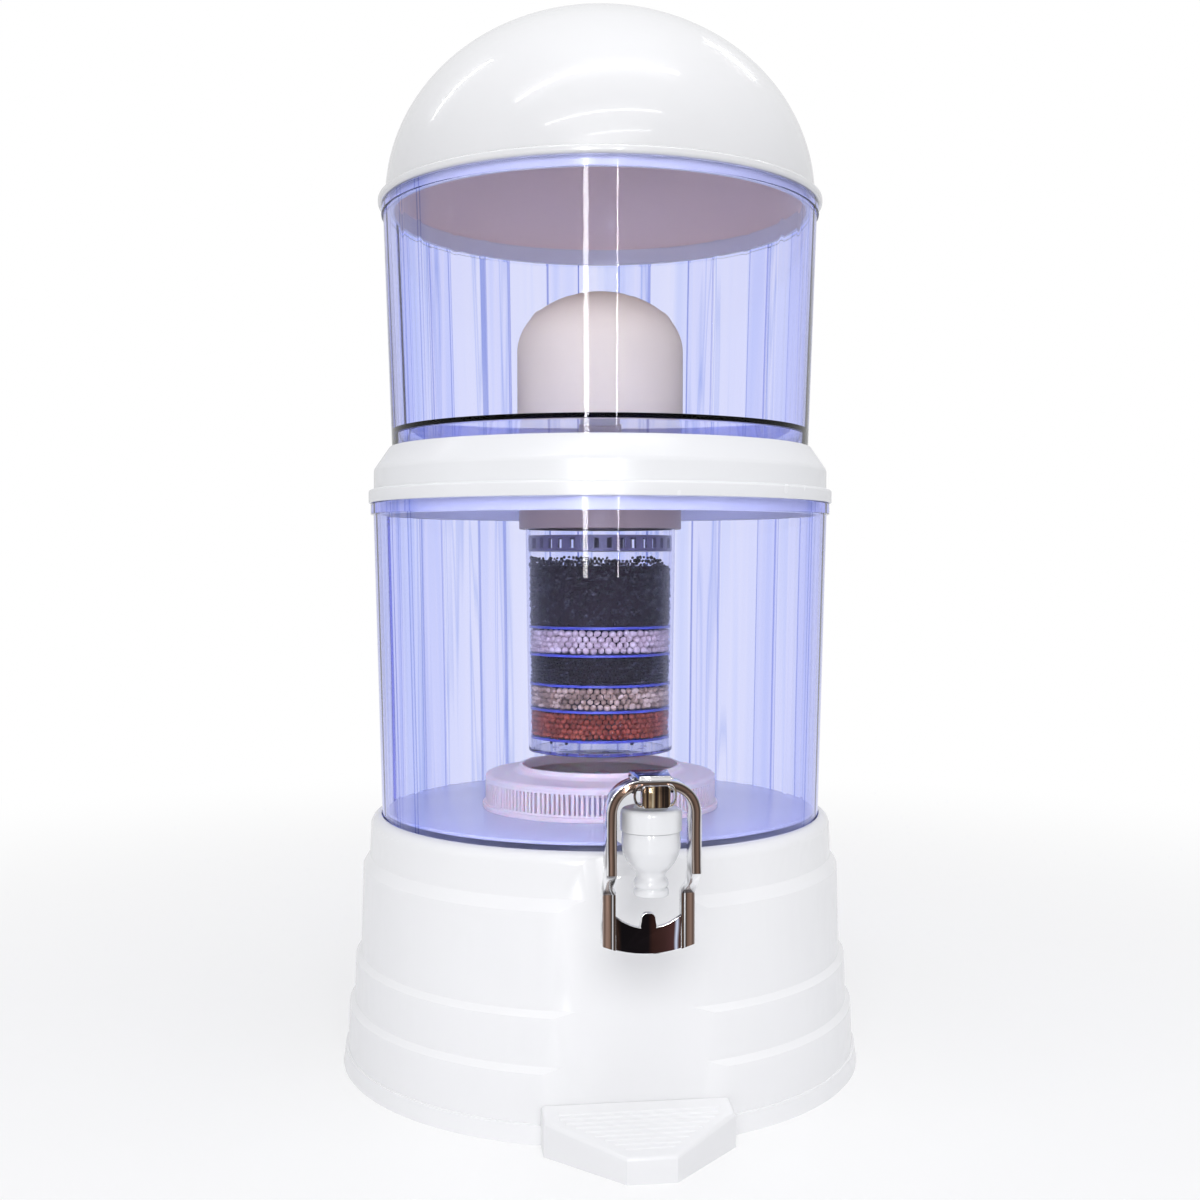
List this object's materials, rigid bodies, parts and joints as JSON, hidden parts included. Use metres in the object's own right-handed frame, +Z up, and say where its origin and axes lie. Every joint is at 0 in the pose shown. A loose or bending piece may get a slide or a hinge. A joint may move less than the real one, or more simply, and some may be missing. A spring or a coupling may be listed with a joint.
{
  "type": "gravity water filter with tap",
  "caption": "Countertop gravity water filter: two clear stacked tanks on a stepped base, domed lid, ceramic dome, layered cartridge and a push-lever tap.",
  "frame": {"origin": "centre of the base's round foot, on the surface it stands on", "axes": "+Z up, the tap and drip shelf face -Y, +X to the viewer's right"},
  "size_m": [0.3, 0.3517, 0.6016],
  "materials": {
    "white_plastic": "glossy moulded ABS",
    "clear_blue": "clear tinted polycarbonate",
    "clear_shell": "clear polystyrene",
    "case_plastic": "satin white moulding",
    "ceramic": "unglazed fired ceramic",
    "silicone": "soft silicone",
    "chrome": "bright chrome plate",
    "steel": "stainless steel",
    "screen_plastic": "blue-tinted disc",
    "carbon": "carbon granules",
    "pale_balls": "pale ceramic balls",
    "beige_balls": "beige mineral balls",
    "red_balls": "red clay balls",
    "stone": "washed mineral stones"
  },
  "bodies": {
    "base": {"base_shell": "white_plastic"},
    "drip_shelf": {"drip_shelf": "white_plastic"},
    "lower_tank": {"lower_tank": "clear_blue", "tap_body": "white_plastic", "tap_bonnet": "white_plastic", "tap_gasket": "silicone", "tap_inner_washer": "silicone", "tap_nut": "white_plastic", "plunger_spring": "steel"},
    "mineral_case": {"mineral_case_body": "case_plastic", "mineral_case_cover": "case_plastic", "mineral_stones": "stone"},
    "lever": {"tap_lever": "chrome"},
    "plunger": {"plunger_stem": "steel", "plunger_seal": "silicone", "lever_pin": "steel"},
    "collar": {"collar_ring": "white_plastic"},
    "upper_tank": {"upper_tank": "clear_blue", "ceramic_dome": "ceramic", "dome_base": "white_plastic", "dome_washer": "silicone", "cartridge_seal": "silicone", "cartridge_head": "white_plastic", "cartridge_shell": "clear_shell", "cartridge_end_cap": "clear_shell", "cartridge_strainer": "clear_shell", "carbon_bed": "carbon", "pale_ball_bed": "pale_balls", "black_granule_bed": "carbon", "beige_ball_bed": "beige_balls", "red_ball_bed": "red_balls", "screen_under_beige_ball": "screen_plastic", "screen_under_black_granule": "screen_plastic", "screen_under_carbon": "screen_plastic", "screen_under_pale_ball": "screen_plastic", "screen_under_red_ball": "screen_plastic"},
    "lid": {"lid": "white_plastic"}
  },
  "joints": [
    {"name": "shelf_pull", "type": "slide", "parent": "base", "child": "drip_shelf", "axis": [0, -1, 0], "range_m": [0, 0.03]},
    {"name": "lower_tank_lift", "type": "slide", "parent": "base", "child": "lower_tank", "axis": [0, 0, 1], "range_m": [0, 0.05]},
    {"name": "case_lift", "type": "slide", "parent": "lower_tank", "child": "mineral_case", "axis": [0, 0, 1], "range_m": [0, 0.006]},
    {"name": "collar_lift", "type": "slide", "parent": "lower_tank", "child": "collar", "axis": [0, 0, 1], "range_m": [0, 0.04]},
    {"name": "upper_tank_lift", "type": "slide", "parent": "collar", "child": "upper_tank", "axis": [0, 0, 1], "range_m": [0, 0.19]},
    {"name": "lid_lift", "type": "slide", "parent": "upper_tank", "child": "lid", "axis": [0, 0, 1], "range_m": [0, 0.12]},
    {"name": "lever_push", "type": "hinge", "parent": "lower_tank", "child": "lever", "pos_m": [0, -0.1993, 0.1784], "axis": [1, 0, 0], "range_deg": [0, 16], "stiffness_Nm_per_rad": 0.05, "springref_deg": -17.19},
    {"name": "plunger_lift", "type": "slide", "parent": "lower_tank", "child": "plunger", "axis": [0, 0, 1], "range_m": [0, 0.0041], "deforming": ["plunger_spring"]}
  ],
  "couplings": [
    {"joint": "plunger_lift", "follows": "lever_push", "m_per_rad": 0.014672}
  ]
}
